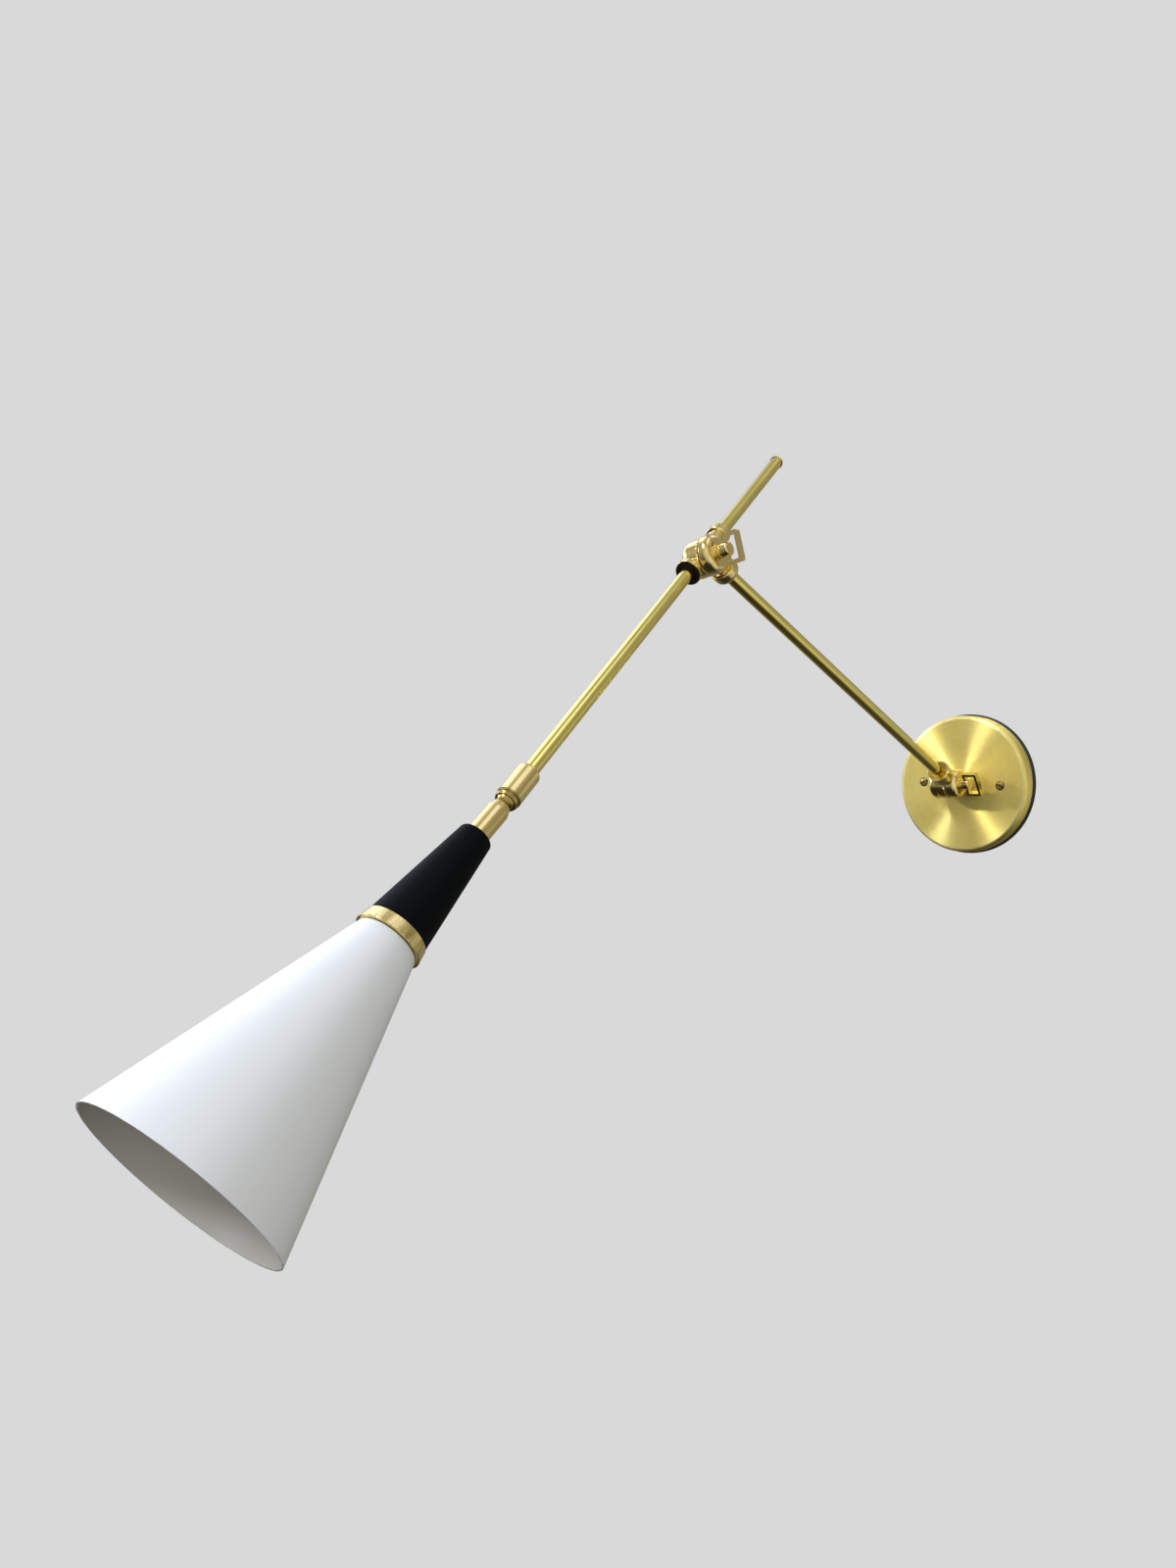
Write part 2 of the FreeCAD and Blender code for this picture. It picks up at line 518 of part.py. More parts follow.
# ---------------------------------------------------------------- arm 2
total = S("tail_len") + S("coupler_at") + 11.0
turned("arm2_tube", [(ti, 0), (tr, 0), (tr, total), (ti, total)], place=frame(E2 - A2 * num("tail_len"), A2, N2))
turned("arm2_tail_plug", [(0, 0), (5.25, 0), (5.25, 1.3), (ti - 0.02, 1.3), (ti - 0.02, 7.0), (0, 7.0)],
       rounds=[(5.25, 0, 0.5)], place=frame(E2 - A2 * (num("tail_len") + 1.31), A2, N2))
cr = S("coupler_dia") / 2
cl = S("coupler_len")
turned("swivel_coupler",
       [(tr + 0.01, 0), (cr, 0), (cr, cl), (S("ball_bore") / 2, cl), (S("ball_bore") / 2, 16.0), (ti, 13.5), (ti, 11.02), (tr + 0.01, 11.02)],
       rounds=[(cr, 0, 2.6)], place=frame(E2 + A2 * num("coupler_at"), A2, N2))
# threaded retainer under the ball, turns about arm 2
bb = S("ball_bore") / 2
turned("ball_retainer",
       [(bb, 0), (cr - 0.25, 0), (cr - 0.25, 1.0), (cr - 0.9, 1.35), (cr - 0.9, 1.9), (cr - 0.35, 2.2), (cr - 1.0, S("retainer_len")),
        (bb - 0.5, S("retainer_len")), (bb, 1.95)],
       place=frame(E2 + A2 * (num("coupler_at") + num("coupler_len") + 0.05), A2, N2))

# ---------------------------------------------------------------- ball and head
hd = frame(BALL, A3, N2)
ball = doc.addObject("Part::Sphere", "ball_body")
ball.Radius = num("ball_dia") / 2
ball.setExpression("Radius", "Sheet.ball_dia / 2")
stud_neck = cylinder("ball_neck", 3.0, 9.0, (0, 0, 0), (0, 0, 1))
stud_foot = cylinder("ball_foot", 4.0, 13.5, (0, 0, 8.6), (0, 0, 1))
wireway = cylinder("ball_wireway", 1.7, 40.0, (0, 0, -10), (0, 0, 1))
keep(cut("ball_stud", fuse("ball_whole", [ball, stud_neck, stud_foot]), wireway), "ball_stud", hd)

st = S("stem_at")
sr = S("stem_dia") / 2
turned("head_stem",
       [(3.15, st), (S("stem_top_dia") / 2, st), (sr, st + S("stem_cone")), (sr, S("stem_end")), (4.02, S("stem_end")),
        (4.02, 25.5), (5.5, 25.0), (5.5, 20.0), (4.08, 20.0), (4.08, 8.5), (3.15, 8.5)],
       place=hd)
turned("stud_clip", [(4.02, 20.06), (5.3, 20.06), (5.3, 21.0), (4.02, 21.0)], place=hd)

na, ne = S("neck_at"), S("neck_end")
nt, nl = S("neck_top_dia") / 2, S("neck_low_dia") / 2
sk2 = S("neck_skin")
turned("neck_cone",
       [(sr + 0.01, na), (nt, na), (nl, ne), (nl - sk2, ne), (nt - sk2 + 0.15, na + 2.0), (sr + 0.01, na + 2.0)],
       rounds=[(nt, na, 1.7)], place=hd)
turned("stem_nut", [(sr + 0.02, na + 2.05), (7.75, na + 2.05), (7.75, na + 5.05), (sr + 0.02, na + 5.05)],
       rounds=[(7.75, na + 5.05, 0.4)], place=hd)
turned("holder_nipple", [(2.6, 26.0), (4.0, 26.0), (4.0, 65.8), (2.6, 65.8)], place=hd)

ra, re_ = S("ring_top_dia") / 2, S("ring_low_dia") / 2
turned("neck_ring",
       [(nl - sk2 - 1.6, ne - 5.0), (nl - sk2 - 0.62, ne - 5.0), (nl - sk2 - 0.04, ne + 0.02), (ra, ne + 0.02),
        (re_, S("ring_end")), (14.1, S("ring_end")), (14.1, S("ring_end") - 1.4), (nl - sk2 - 1.6, S("ring_end") - 1.4)],
       rounds=[(ra, ne + 0.02, 0.3), (re_, S("ring_end"), 0.4)], place=hd)

sa, se = S("shade_at"), S("shade_end")
s1, s2 = S("shade_top_dia") / 2, S("shade_mouth_dia") / 2
ss = S("shade_skin")
turned("shade",
       [(14.1, sa), (s1, sa), (s2, se), (s2 - ss, se), (s1 - ss + 0.25, sa + ss), (14.1, sa + ss)],
       rounds=[(s1, sa, 0.7)], place=hd)
turned("shade_nut", [(S("holder_dia") / 2 + 0.02, sa + ss + 0.02), (16.2, sa + ss + 0.02), (16.2, sa + ss + 4.0), (S("holder_dia") / 2 + 0.02, sa + ss + 4.0)],
       rounds=[(16.2, sa + ss + 4.0, 0.8)], place=hd)

ho = S("holder_dia") / 2
hb_ = S("holder_bore") / 2
turned("lampholder_body",
       [(4.05, S("holder_at")), (ho - 3.4, S("holder_at")), (ho - 3.4, S("holder_at") + 1.5), (ho, S("holder_at") + 17.0), (ho, S("holder_end")), (hb_, S("holder_end")),
        (hb_, 78.0), (1.2, 78.0), (1.2, 70.0), (4.05, 70.0)],
       rounds=[(ho, S("holder_end"), 0.8)], place=hd)
turned("lampholder_shell", [(3.6, 79.0), (hb_ - 0.02, 79.0), (hb_ - 0.02, 108.0), (hb_ - 0.9, 108.0), (hb_ - 0.9, 80.0), (3.6, 80.0)], place=hd)
turned("centre_contact", [(0, 78.05), (3.2, 78.05), (3.2, 78.35), (1.6, 79.6), (0, 79.6)], rounds=[(1.6, 79.6, 0.3)], place=hd)

# ---------------------------------------------------------------- check and write
doc.recompute()
bad = [o.Name for o in doc.Objects if ("Invalid" in o.State or "Error" in o.State)]
if bad:
    raise SystemExit("failed objects: %s" % ", ".join(bad))
for name, o in NODES.items():
    if o.Shape.isNull() or not o.Shape.isValid() or not o.Shape.Solids:
        raise SystemExit("bad shape: " + name)
os.makedirs("parts", exist_ok=True)
for old in os.listdir("parts"):
    if old.endswith(".step") and old[:-5] not in NODES:
        os.remove(os.path.join("parts", old))
for name, o in NODES.items():
    o.Shape.exportStep("parts/%s.step" % name)
print(len(NODES), "nodes")
for n, v in (("JW", JW), ("E1", E1), ("E2", E2), ("BALL", BALL), ("N1", N1), ("N2", N2), ("A1", A1), ("A2", A2), ("A3", A3), ("LEAN", LEAN)):
    print(n, "%.4f %.4f %.4f" % (v.x, v.y, v.z))
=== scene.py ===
import json
import math
import bmesh
import bpy
from mathutils import Matrix, Vector


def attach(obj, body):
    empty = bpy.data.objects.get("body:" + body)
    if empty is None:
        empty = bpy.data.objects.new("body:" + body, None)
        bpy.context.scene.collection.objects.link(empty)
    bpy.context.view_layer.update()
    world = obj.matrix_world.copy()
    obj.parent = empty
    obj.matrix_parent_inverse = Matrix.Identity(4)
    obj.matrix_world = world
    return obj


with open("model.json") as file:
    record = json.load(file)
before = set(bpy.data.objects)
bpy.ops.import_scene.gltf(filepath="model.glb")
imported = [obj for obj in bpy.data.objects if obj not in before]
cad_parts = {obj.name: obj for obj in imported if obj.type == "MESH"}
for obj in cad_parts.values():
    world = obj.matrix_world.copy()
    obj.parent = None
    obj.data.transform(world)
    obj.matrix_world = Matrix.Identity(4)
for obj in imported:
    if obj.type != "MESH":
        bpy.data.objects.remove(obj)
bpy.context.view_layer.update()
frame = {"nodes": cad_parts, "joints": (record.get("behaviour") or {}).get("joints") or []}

nodes = frame["nodes"]
joints = {j["name"]: j for j in frame["joints"]} if not isinstance(frame["joints"], dict) else frame["joints"]
scene = bpy.context.scene


# ------------------------------------------------------------------ directions
def jv(name, key):
    return Vector(joints[name][key])


N1 = jv("wall_tilt", "axis").normalized()
JW = jv("wall_tilt", "pos_m")
N2 = jv("elbow", "axis").normalized()
E1 = jv("elbow", "pos_m")
A2 = -jv("arm_slide", "axis").normalized()
BALL = jv("head_tilt", "pos_m")
A3 = jv("head_spin", "axis").normalized()
A1 = (E1 - JW).normalized()
OUT = Vector((0, -1, 0))


def basis(origin, z, x):
    z = Vector(z).normalized()
    x = (Vector(x) - z * Vector(x).dot(z)).normalized()
    y = z.cross(x)
    m = Matrix((x, y, z)).transposed().to_4x4()
    m.translation = origin
    return m


# ------------------------------------------------------------------ materials
class Tree(object):
    def __init__(self, name):
        self.mat = bpy.data.materials.new(name)
        self.mat.use_nodes = True
        self.t = self.mat.node_tree
        self.b = self.t.nodes["Principled BSDF"]
        self.out = self.t.nodes["Material Output"]

    def n(self, kind, **kw):
        node = self.t.nodes.new(kind)
        for k, v in kw.items():
            if k.startswith("in_"):
                key = k[3:]
                key = int(key) if key.isdigit() else key
                node.inputs[key].default_value = v
            else:
                setattr(node, k, v)
        return node

    def link(self, a, b):
        self.t.links.new(a, b)

    def set(self, **kw):
        for k, v in kw.items():
            self.b.inputs[k.replace("_", " ")].default_value = v

    def coord(self, matrix=None, kind="Object"):
        """Object coordinates, optionally in a local frame given by a matrix."""
        tc = self.n("ShaderNodeTexCoord")
        if matrix is None:
            return tc.outputs[kind]
        inv = matrix.inverted()
        e = inv.to_euler("XYZ")
        mp = self.n("ShaderNodeMapping", vector_type="POINT")
        mp.inputs["Location"].default_value = inv.translation
        mp.inputs["Rotation"].default_value = e
        self.link(tc.outputs[kind], mp.inputs["Vector"])
        return mp.outputs["Vector"]

    def scaled(self, vec, s):
        mp = self.n("ShaderNodeMapping")
        mp.inputs["Scale"].default_value = s
        self.link(vec, mp.inputs["Vector"])
        return mp.outputs["Vector"]

    def noise(self, vec, scale, detail=3.0, rough=0.55, dims="3D"):
        nz = self.n("ShaderNodeTexNoise", noise_dimensions=dims)
        nz.inputs["Scale"].default_value = scale
        nz.inputs["Detail"].default_value = detail
        nz.inputs["Roughness"].default_value = rough
        self.link(vec, nz.inputs["Vector"] if dims != "1D" else nz.inputs["W"])
        return nz.outputs["Fac"]

    def remap(self, fac, a, b, c, d):
        mr = self.n("ShaderNodeMapRange", clamp=True)
        for i, v in enumerate((a, b, c, d)):
            mr.inputs[i + 1].default_value = v
        self.link(fac, mr.inputs[0])
        return mr.outputs[0]

    def math(self, op, a, b=None):
        m = self.n("ShaderNodeMath", operation=op)
        for i, v in enumerate((a, b)):
            if v is None:
                continue
            if isinstance(v, (int, float)):
                m.inputs[i].default_value = v
            else:
                self.link(v, m.inputs[i])
        return m.outputs[0]

    def mix(self, fac, a, b):
        m = self.n("ShaderNodeMix", data_type="RGBA")
        if isinstance(fac, (int, float)):
            m.inputs[0].default_value = fac
        else:
            self.link(fac, m.inputs[0])
        for i, v in ((6, a), (7, b)):
            if isinstance(v, tuple):
                m.inputs[i].default_value = (*v[:3], 1.0)
            else:
                self.link(v, m.inputs[i])
        return m.outputs[2]

    def bump(self, height, dist, strength=1.0, normal=None):
        bp = self.n("ShaderNodeBump")
        bp.inputs["Distance"].default_value = dist
        bp.inputs["Strength"].default_value = strength
        self.link(height, bp.inputs["Height"])
        if normal is not None:
            self.link(normal, bp.inputs["Normal"])
        self.link(bp.outputs["Normal"], self.b.inputs["Normal"])
        return bp.outputs["Normal"]


BRASS = (0.88, 0.765, 0.215)
BRASS_DARK = (0.72, 0.58, 0.12)
PLATE = (0.95, 0.81, 0.27)
PLATE_DARK = (0.78, 0.61, 0.15)
TAN = (0.88, 0.72, 0.30)
TAN_DARK = (0.66, 0.50, 0.15)


def brass_along(name, matrix, rough=0.22, base=BRASS, dark=BRASS_DARK, streak=1.0, coat=0.5):
    """Brass drawn or polished along its own axis (local Z of matrix): fine lengthwise lines."""
    t = Tree(name)
    p = t.coord(matrix)
    lines = t.noise(t.scaled(p, (1.0, 1.0, 0.012)), 2400.0, 2.0)
    bands = t.noise(t.scaled(p, (1.0, 1.0, 0.02)), 620.0, 2.0)
    broad = t.noise(t.scaled(p, (1.0, 1.0, 0.12)), 150.0, 3.0)
    cloud = t.noise(p, 30.0, 4.0, 0.6)
    spots = t.noise(p, 210.0, 4.0, 0.7)
    t.set(Metallic=1.0)
    tone = t.math("ADD", t.remap(cloud, 0.42, 0.78, 0.0, 0.45), t.remap(bands, 0.42, 0.66, 0.0, 0.35 * streak))
    tone = t.math("ADD", tone, t.remap(spots, 0.66, 0.78, 0.0, 0.5))
    t.link(t.mix(tone, base, dark), t.b.inputs["Base Color"])
    r = t.math("ADD", t.remap(lines, 0.3, 0.7, -0.03 * streak, 0.03 * streak), t.remap(broad, 0.3, 0.7, rough - 0.03, rough + 0.04))
    r = t.math("ADD", r, t.remap(spots, 0.62, 0.8, 0.0, 0.10))
    t.link(r, t.b.inputs["Roughness"])
    t.b.inputs["Coat Weight"].default_value = coat
    t.b.inputs["Coat Roughness"].default_value = 0.16
    return t.mat


def brass_turned(name, matrix, rough=0.24, base=TAN, dark=TAN_DARK, depth=0.0000008, spacing=1500.0, coat=0.5):
    """Brass finished on a lathe about local Z of matrix: faint rings round the axis."""
    t = Tree(name)
    p = t.coord(matrix)
    sep = t.n("ShaderNodeSeparateXYZ")
    t.link(p, sep.inputs[0])
    radius = t.math("SQRT", t.math("ADD", t.math("MULTIPLY", sep.outputs[0], sep.outputs[0]), t.math("MULTIPLY", sep.outputs[1], sep.outputs[1])))
    comb = t.n("ShaderNodeCombineXYZ")
    t.link(radius, comb.inputs[0])
    t.link(sep.outputs[2], comb.inputs[1])
    ang = t.math("MULTIPLY", t.math("ARCTAN2", sep.outputs[1], sep.outputs[0]), 0.0004)
    t.link(ang, comb.inputs[2])
    rings = t.noise(comb.outputs[0], spacing, 1.0)
    broad = t.noise(comb.outputs[0], 380.0, 2.0)
    cloud = t.noise(p, 70.0, 4.0, 0.6)
    wear = t.noise(p, 26.0, 3.0)
    fleck = t.noise(p, 520.0, 3.0, 0.65)
    t.set(Metallic=1.0)
    tone = t.math("ADD", t.remap(cloud, 0.40, 0.72, 0.0, 0.5), t.remap(wear, 0.5, 0.75, 0.0, 0.4))
    tone = t.math("ADD", tone, t.remap(fleck, 0.66, 0.78, 0.0, 0.35))
    t.link(t.mix(tone, base, dark), t.b.inputs["Base Color"])
    r = t.math("ADD", t.remap(rings, 0.3, 0.7, -0.02, 0.02), t.remap(broad, 0.3, 0.7, rough - 0.02, rough + 0.04))
    r = t.math("ADD", r, t.remap(fleck, 0.6, 0.78, 0.0, 0.08))
    t.link(r, t.b.inputs["Roughness"])
    t.bump(t.math("ADD", rings, t.math("MULTIPLY", broad, 0.8)), depth * 0.5)
    t.b.inputs["Coat Weight"].default_value = coat
    t.b.inputs["Coat Roughness"].default_value = 0.18
    return t.mat


def brass_plate(name, matrix):
    """Spun plate: concentric brushing, so light fans out from the centre."""
    t = Tree(name)
    p = t.coord(matrix)
    sep = t.n("ShaderNodeSeparateXYZ")
    t.link(p, sep.inputs[0])
    radius = t.math("SQRT", t.math("ADD", t.math("MULTIPLY", sep.outputs[0], sep.outputs[0]), t.math("MULTIPLY", sep.outputs[1], sep.outputs[1])))
    ang = t.math("ARCTAN2", sep.outputs[1], sep.outputs[0])
    comb = t.n("ShaderNodeCombineXYZ")
    t.link(radius, comb.inputs[0])
    t.link(sep.outputs[2], comb.inputs[1])
    t.link(t.math("MULTIPLY", ang, 0.0012), comb.inputs[2])
    rings = t.noise(comb.outputs[0], 3600.0, 2.0)
    coarse = t.noise(comb.outputs[0], 520.0, 2.0)
    # slow change with the angle, as hand pressure leaves it
    wedge = t.n("ShaderNodeCombineXYZ")
    t.link(t.math("COSINE", ang), wedge.inputs[0])
    t.link(t.math("SINE", ang), wedge.inputs[1])
    t.link(t.math("MULTIPLY", radius, 2.0), wedge.inputs[2])
    rays = t.noise(wedge.outputs[0], 3.4, 3.0)
    cloud = t.noise(p, 24.0, 4.0, 0.55)
    handled = t.noise(p, 70.0, 4.0, 0.65)
    t.set(Metallic=1.0)
    t.b.inputs["Anisotropic Rotation"].default_value = 0.25
    # spun lines and hand-rubbed patches lie side by side, finer than the eye sees
    spun = t.remap(t.noise(p, 5200.0, 1.0), 0.44, 0.50, 0.0, 1.0)
    t.link(spun, t.b.inputs["Anisotropic"])
    tone = t.math("ADD", t.remap(cloud, 0.4, 0.75, 0.0, 0.45), t.remap(rings, 0.45, 0.72, 0.0, 0.45))
    tone = t.math("ADD", tone, t.remap(coarse, 0.5, 0.75, 0.0, 0.25))
    body = t.mix(tone, PLATE, PLATE_DARK)
    # painted highlight: a lighter line where the face turns into the rim, standing in for the light the edge
    # catches
    painted_rim_highlight = t.math("MULTIPLY", t.remap(radius, 0.0581, 0.0588, 0.0, 1.0), t.remap(radius, 0.0592, 0.0600, 1.0, 0.0))
    t.link(t.mix(painted_rim_highlight, body, (0.93, 0.84, 0.42)), t.b.inputs["Base Color"])
    r = t.math("ADD", t.remap(rings, 0.3, 0.7, -0.02, 0.02), t.remap(coarse, 0.3, 0.7, 0.35, 0.40))
    r = t.math("ADD", r, t.remap(spun, 0.0, 1.0, 0.11, 0.0))
    r = t.math("ADD", r, t.remap(rays, 0.35, 0.65, -0.02, 0.02))
    r = t.math("ADD", r, t.remap(handled, 0.55, 0.75, 0.0, 0.05))
    t.link(r, t.b.inputs["Roughness"])
    tan = t.n("ShaderNodeTangent", direction_type="RADIAL", axis="Y")
    t.link(tan.outputs[0], t.b.inputs["Tangent"])
    return t.mat


def paint(name, colour, rough, grain, depth, spread=0.03, cool=None, coat=0.0, gloss=0.5):
    """Powder coat or sprayed paint: fine orange peel and a slow change of tone."""
    t = Tree(name)
    p = t.coord()
    peel = t.noise(p, grain, 3.0, 0.6)
    dust = t.noise(p, grain * 3.4, 2.0)
    slow = t.noise(p, 14.0, 3.0)
    c2 = tuple(max(0.0, c * (1.0 - spread)) for c in colour) if cool is None else cool
    t.link(t.mix(t.remap(slow, 0.35, 0.7, 0.0, 1.0), colour, c2), t.b.inputs["Base Color"])
    t.link(t.math("ADD", t.remap(peel, 0.3, 0.7, rough - 0.04, rough + 0.04), t.remap(dust, 0.6, 0.8, 0.0, 0.05)), t.b.inputs["Roughness"])
    t.bump(t.math("ADD", peel, t.math("MULTIPLY", dust, 0.35)), depth)
    t.b.inputs["Specular IOR Level"].default_value = gloss
    if coat:
        t.b.inputs["Coat Weight"].default_value = coat
        t.b.inputs["Coat Roughness"].default_value = 0.35
    return t.mat


def shade_paint(name, outer, inside_painted_shade, centre, axis):
    """White powder coat outside; inside, the same coat painted darker and warmer as painted shade inside the cone.
    """
    mat = paint(name, outer, 0.50, 900.0, 0.000008, spread=0.012)
    nt = mat.node_tree
    bsdf = nt.nodes["Principled BSDF"]
    source = bsdf.inputs["Base Color"].links[0].from_socket
    tc = nt.nodes.new("ShaderNodeTexCoord")

    def vm(op, a, b):
        n = nt.nodes.new("ShaderNodeVectorMath")
        n.operation = op
        for i, v in enumerate((a, b)):
            if isinstance(v, Vector):
                n.inputs[i].default_value = v
            else:
                nt.links.new(v, n.inputs[i])
        return n.outputs["Value"] if op == "DOT_PRODUCT" else n.outputs[0]

    def mm(op, a, b):
        n = nt.nodes.new("ShaderNodeMath")
        n.operation = op
        for i, v in enumerate((a, b)):
            if isinstance(v, float):
                n.inputs[i].default_value = v
            else:
                nt.links.new(v, n.inputs[i])
        return n.outputs[0]

    # painted shade: faces turned towards the axis, the inside of the cone, get the darker inner colour
    rel = vm("SUBTRACT", tc.outputs["Object"], centre)
    side = mm("SUBTRACT", vm("DOT_PRODUCT", rel, tc.outputs["Normal"]),
              mm("MULTIPLY", vm("DOT_PRODUCT", rel, axis), vm("DOT_PRODUCT", tc.outputs["Normal"], axis)))
    inside_shade_mask = mm("LESS_THAN", side, 0.0)
    mix = nt.nodes.new("ShaderNodeMix")
    mix.data_type = "RGBA"
    nt.links.new(inside_shade_mask, mix.inputs["Factor"])
    nt.links.new(source, mix.inputs[6])
    mix.inputs[7].default_value = (*inside_painted_shade, 1.0)
    nt.links.new(mix.outputs[2], bsdf.inputs["Base Color"])
    return mat


def plastic(name, colour, rough, grain=700.0, depth=0.00001):
    return paint(name, colour, rough, grain, depth, spread=0.10)


def steel(name, base=(0.55, 0.55, 0.54), rough=0.34):
    t = Tree(name)
    p = t.coord()
    a = t.noise(p, 300.0, 4.0)
    b = t.noise(p, 45.0, 3.0)
    t.set(Metallic=1.0)
    t.link(t.mix(t.remap(b, 0.35, 0.7, 0.0, 1.0), base, tuple(c * 0.72 for c in base)), t.b.inputs["Base Color"])
    t.link(t.remap(a, 0.3, 0.7, rough - 0.06, rough + 0.1), t.b.inputs["Roughness"])
    t.bump(a, 0.000012)
    return t.mat


def rubber(name):
    t = Tree(name)
    p = t.coord()
    a = t.noise(p, 1500.0, 3.0)
    b = t.noise(p, 90.0, 3.0)
    t.link(t.mix(t.remap(b, 0.35, 0.7, 0.0, 1.0), (0.012, 0.012, 0.013), (0.024, 0.023, 0.023)), t.b.inputs["Base Color"])
    t.link(t.remap(a, 0.3, 0.7, 0.55, 0.75), t.b.inputs["Roughness"])
    t.bump(a, 0.00003)
    return t.mat


wall_m = basis(Vector((0, 0, 0)), OUT, (1, 0, 0))
k1 = basis(JW, N1, A1)
a1 = basis(JW, A1, N1)
k2 = basis(E1, N2, A2)
a2 = basis(E1 - N2 * 0.0092, A2, N2)
hd = basis(BALL, A3, N2)

MAT = {
    "plate": brass_plate("plate_brass_spun", wall_m),
    "wall_turned": brass_turned("brass_turned_wall", wall_m, 0.25, base=BRASS, dark=BRASS_DARK),
    "k1": brass_turned("brass_turned_wall_pivot", k1, 0.16),
    "a1_turned": brass_turned("brass_turned_arm1", a1, 0.14),
    "a1_tube": brass_along("brass_tube_arm1", a1, 0.15, coat=0.3),
    "k2": brass_turned("brass_turned_elbow_pivot", k2, 0.16),
    "a2_turned": brass_turned("brass_turned_arm2", a2, 0.14),
    "a2_tube": brass_along("brass_tube_arm2", a2, 0.14),
    "hd_turned": brass_along("brass_brushed_head", hd, 0.20, base=TAN, dark=TAN_DARK, streak=1.5),
    "coupler": brass_along("brass_brushed_coupler", a2, 0.20, base=TAN, dark=TAN_DARK, streak=1.5),
    "ring": brass_along("brass_brushed_ring", hd, 0.30, base=TAN, dark=(0.55, 0.40, 0.13), streak=2.0),
    # painted shade: ball and retainer darkened to stand in for the shade in the gap of the head joint
    "dark": brass_turned("brass_darkened_joint_shade", a2, 0.30, base=(0.46, 0.35, 0.12), dark=(0.24, 0.17, 0.05), coat=0.0),
    # painted shade: screw heads darkened as they sit in the shade of the plate's holes
    "screw": brass_turned("screw_head_painted_hole_shade", wall_m, 0.33, base=(0.42, 0.32, 0.11), dark=(0.16, 0.11, 0.04), coat=0.0),
    "black": paint("black_powder_coat", (0.0010, 0.0022, 0.0032), 0.60, 1100.0, 0.000008, cool=(0.0006, 0.0014, 0.0022), gloss=0.07),
    # the second colour is painted shade for the inside of the lampshade
    "white": shade_paint("white_powder_coat_painted_inner_shade", (0.80, 0.828, 0.838), (0.47, 0.448, 0.40), BALL, A3),
    "rubber": rubber("black_rubber_ring"),
    "steel": steel("zinc_plated_steel"),
    "nickel": steel("nickel_shell_metal", (0.62, 0.60, 0.55), 0.22),
    # dark fibre for washers, liners and pad, darkened further to stand in for the shade inside the sleeve collar
    "fibre": paint("dark_fibre_with_painted_collar_shade", (0.012, 0.009, 0.006), 0.75, 1300.0, 0.00003, spread=0.4, gloss=0.15),
    "bakelite": plastic("black_holder_plastic", (0.012, 0.012, 0.013), 0.38),
    # painted shade for the screw slots and the ring round the screw heads
    "recess_shade_dark": paint("painted_recess_shade", (0.020, 0.014, 0.006), 0.7, 900.0, 0.00001, spread=0.4, gloss=0.2),
    "white_plastic": plastic("white_terminal_plastic", (0.78, 0.77, 0.72), 0.42),
}
USE = {
    "wall_plate": "plate", "wall_gasket": "rubber", "swivel_bush": "wall_turned", "bush_nut": "steel",
    "terminal_block": "white_plastic", "terminal_screws": "steel", "earth_screw": "wall_turned",
    "wall_knuckle_disc": "k1", "swivel_washer": "steel", "swivel_nut": "steel", "wall_friction_washer": "fibre",
    "wall_key_screw": "k1", "wall_key_washer": "k1", "wall_key_loop": "k1",
    "wall_knuckle_drum": "k1", "arm1_wall_collar": "a1_turned", "arm1_tube": "a1_tube", "arm1_elbow_collar": "a1_turned",
    "elbow_knuckle_disc": "k2", "elbow_friction_washer": "fibre",
    "elbow_knuckle_hub": "k2", "sleeve_lower_collar": "a2_turned", "sleeve_upper_collar": "a2_turned",
    "sleeve_liners": "fibre", "clamp_pad": "fibre",
    "elbow_key_screw": "k2", "elbow_key_washer": "k2", "elbow_key_loop": "k2",
    "arm2_tube": "a2_tube", "arm2_tail_plug": "a2_turned", "swivel_coupler": "coupler",
    "ball_retainer": "dark", "ball_stud": "dark", "stud_clip": "steel",
    "head_stem": "hd_turned", "neck_cone": "black", "stem_nut": "steel", "holder_nipple": "steel",
    "neck_ring": "ring", "shade": "white", "shade_nut": "bakelite", "lampholder_body": "bakelite",
    "lampholder_shell": "nickel", "centre_contact": "wall_turned",
}
for name, key in USE.items():
    o = nodes[name]
    if not o.material_slots:
        o.data.materials.append(MAT[key])
    for s in o.material_slots:
        s.material = MAT[key]


# ------------------------------------------------------------------ pieces
def link(name, bm, mat, body):
    me = bpy.data.meshes.new(name)
    bm.to_mesh(me)
    bm.free()
    o = bpy.data.objects.new(name, me)
    scene.collection.objects.link(o)
    me.materials.append(mat)
    for f in me.polygons:
        f.use_smooth = True
    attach(o, body)
    return o


def lathe(bm, profile, matrix, steps=48):
    """Closed solid of revolution about local Z; a radius of 0 closes on the axis."""
    rings = []
    for r, z in profile:
        if r < 1e-7:
            rings.append([bm.verts.new(matrix @ Vector((0, 0, z)))])
        else:
            rings.append([bm.verts.new(matrix @ Vector((r * math.cos(2 * math.pi * i / steps), r * math.sin(2 * math.pi * i / steps), z)))
                          for i in range(steps)])
    for a, b in zip(rings, rings[1:]):
        for i in range(steps):
            j = (i + 1) % steps
            if len(a) == 1 and len(b) > 1:
                bm.faces.new((a[0], b[i], b[j]))
            elif len(b) == 1 and len(a) > 1:
                bm.faces.new((a[i], b[0], a[j]))
            elif len(a) > 1:
                bm.faces.new((a[i], b[i], b[j], a[j]))


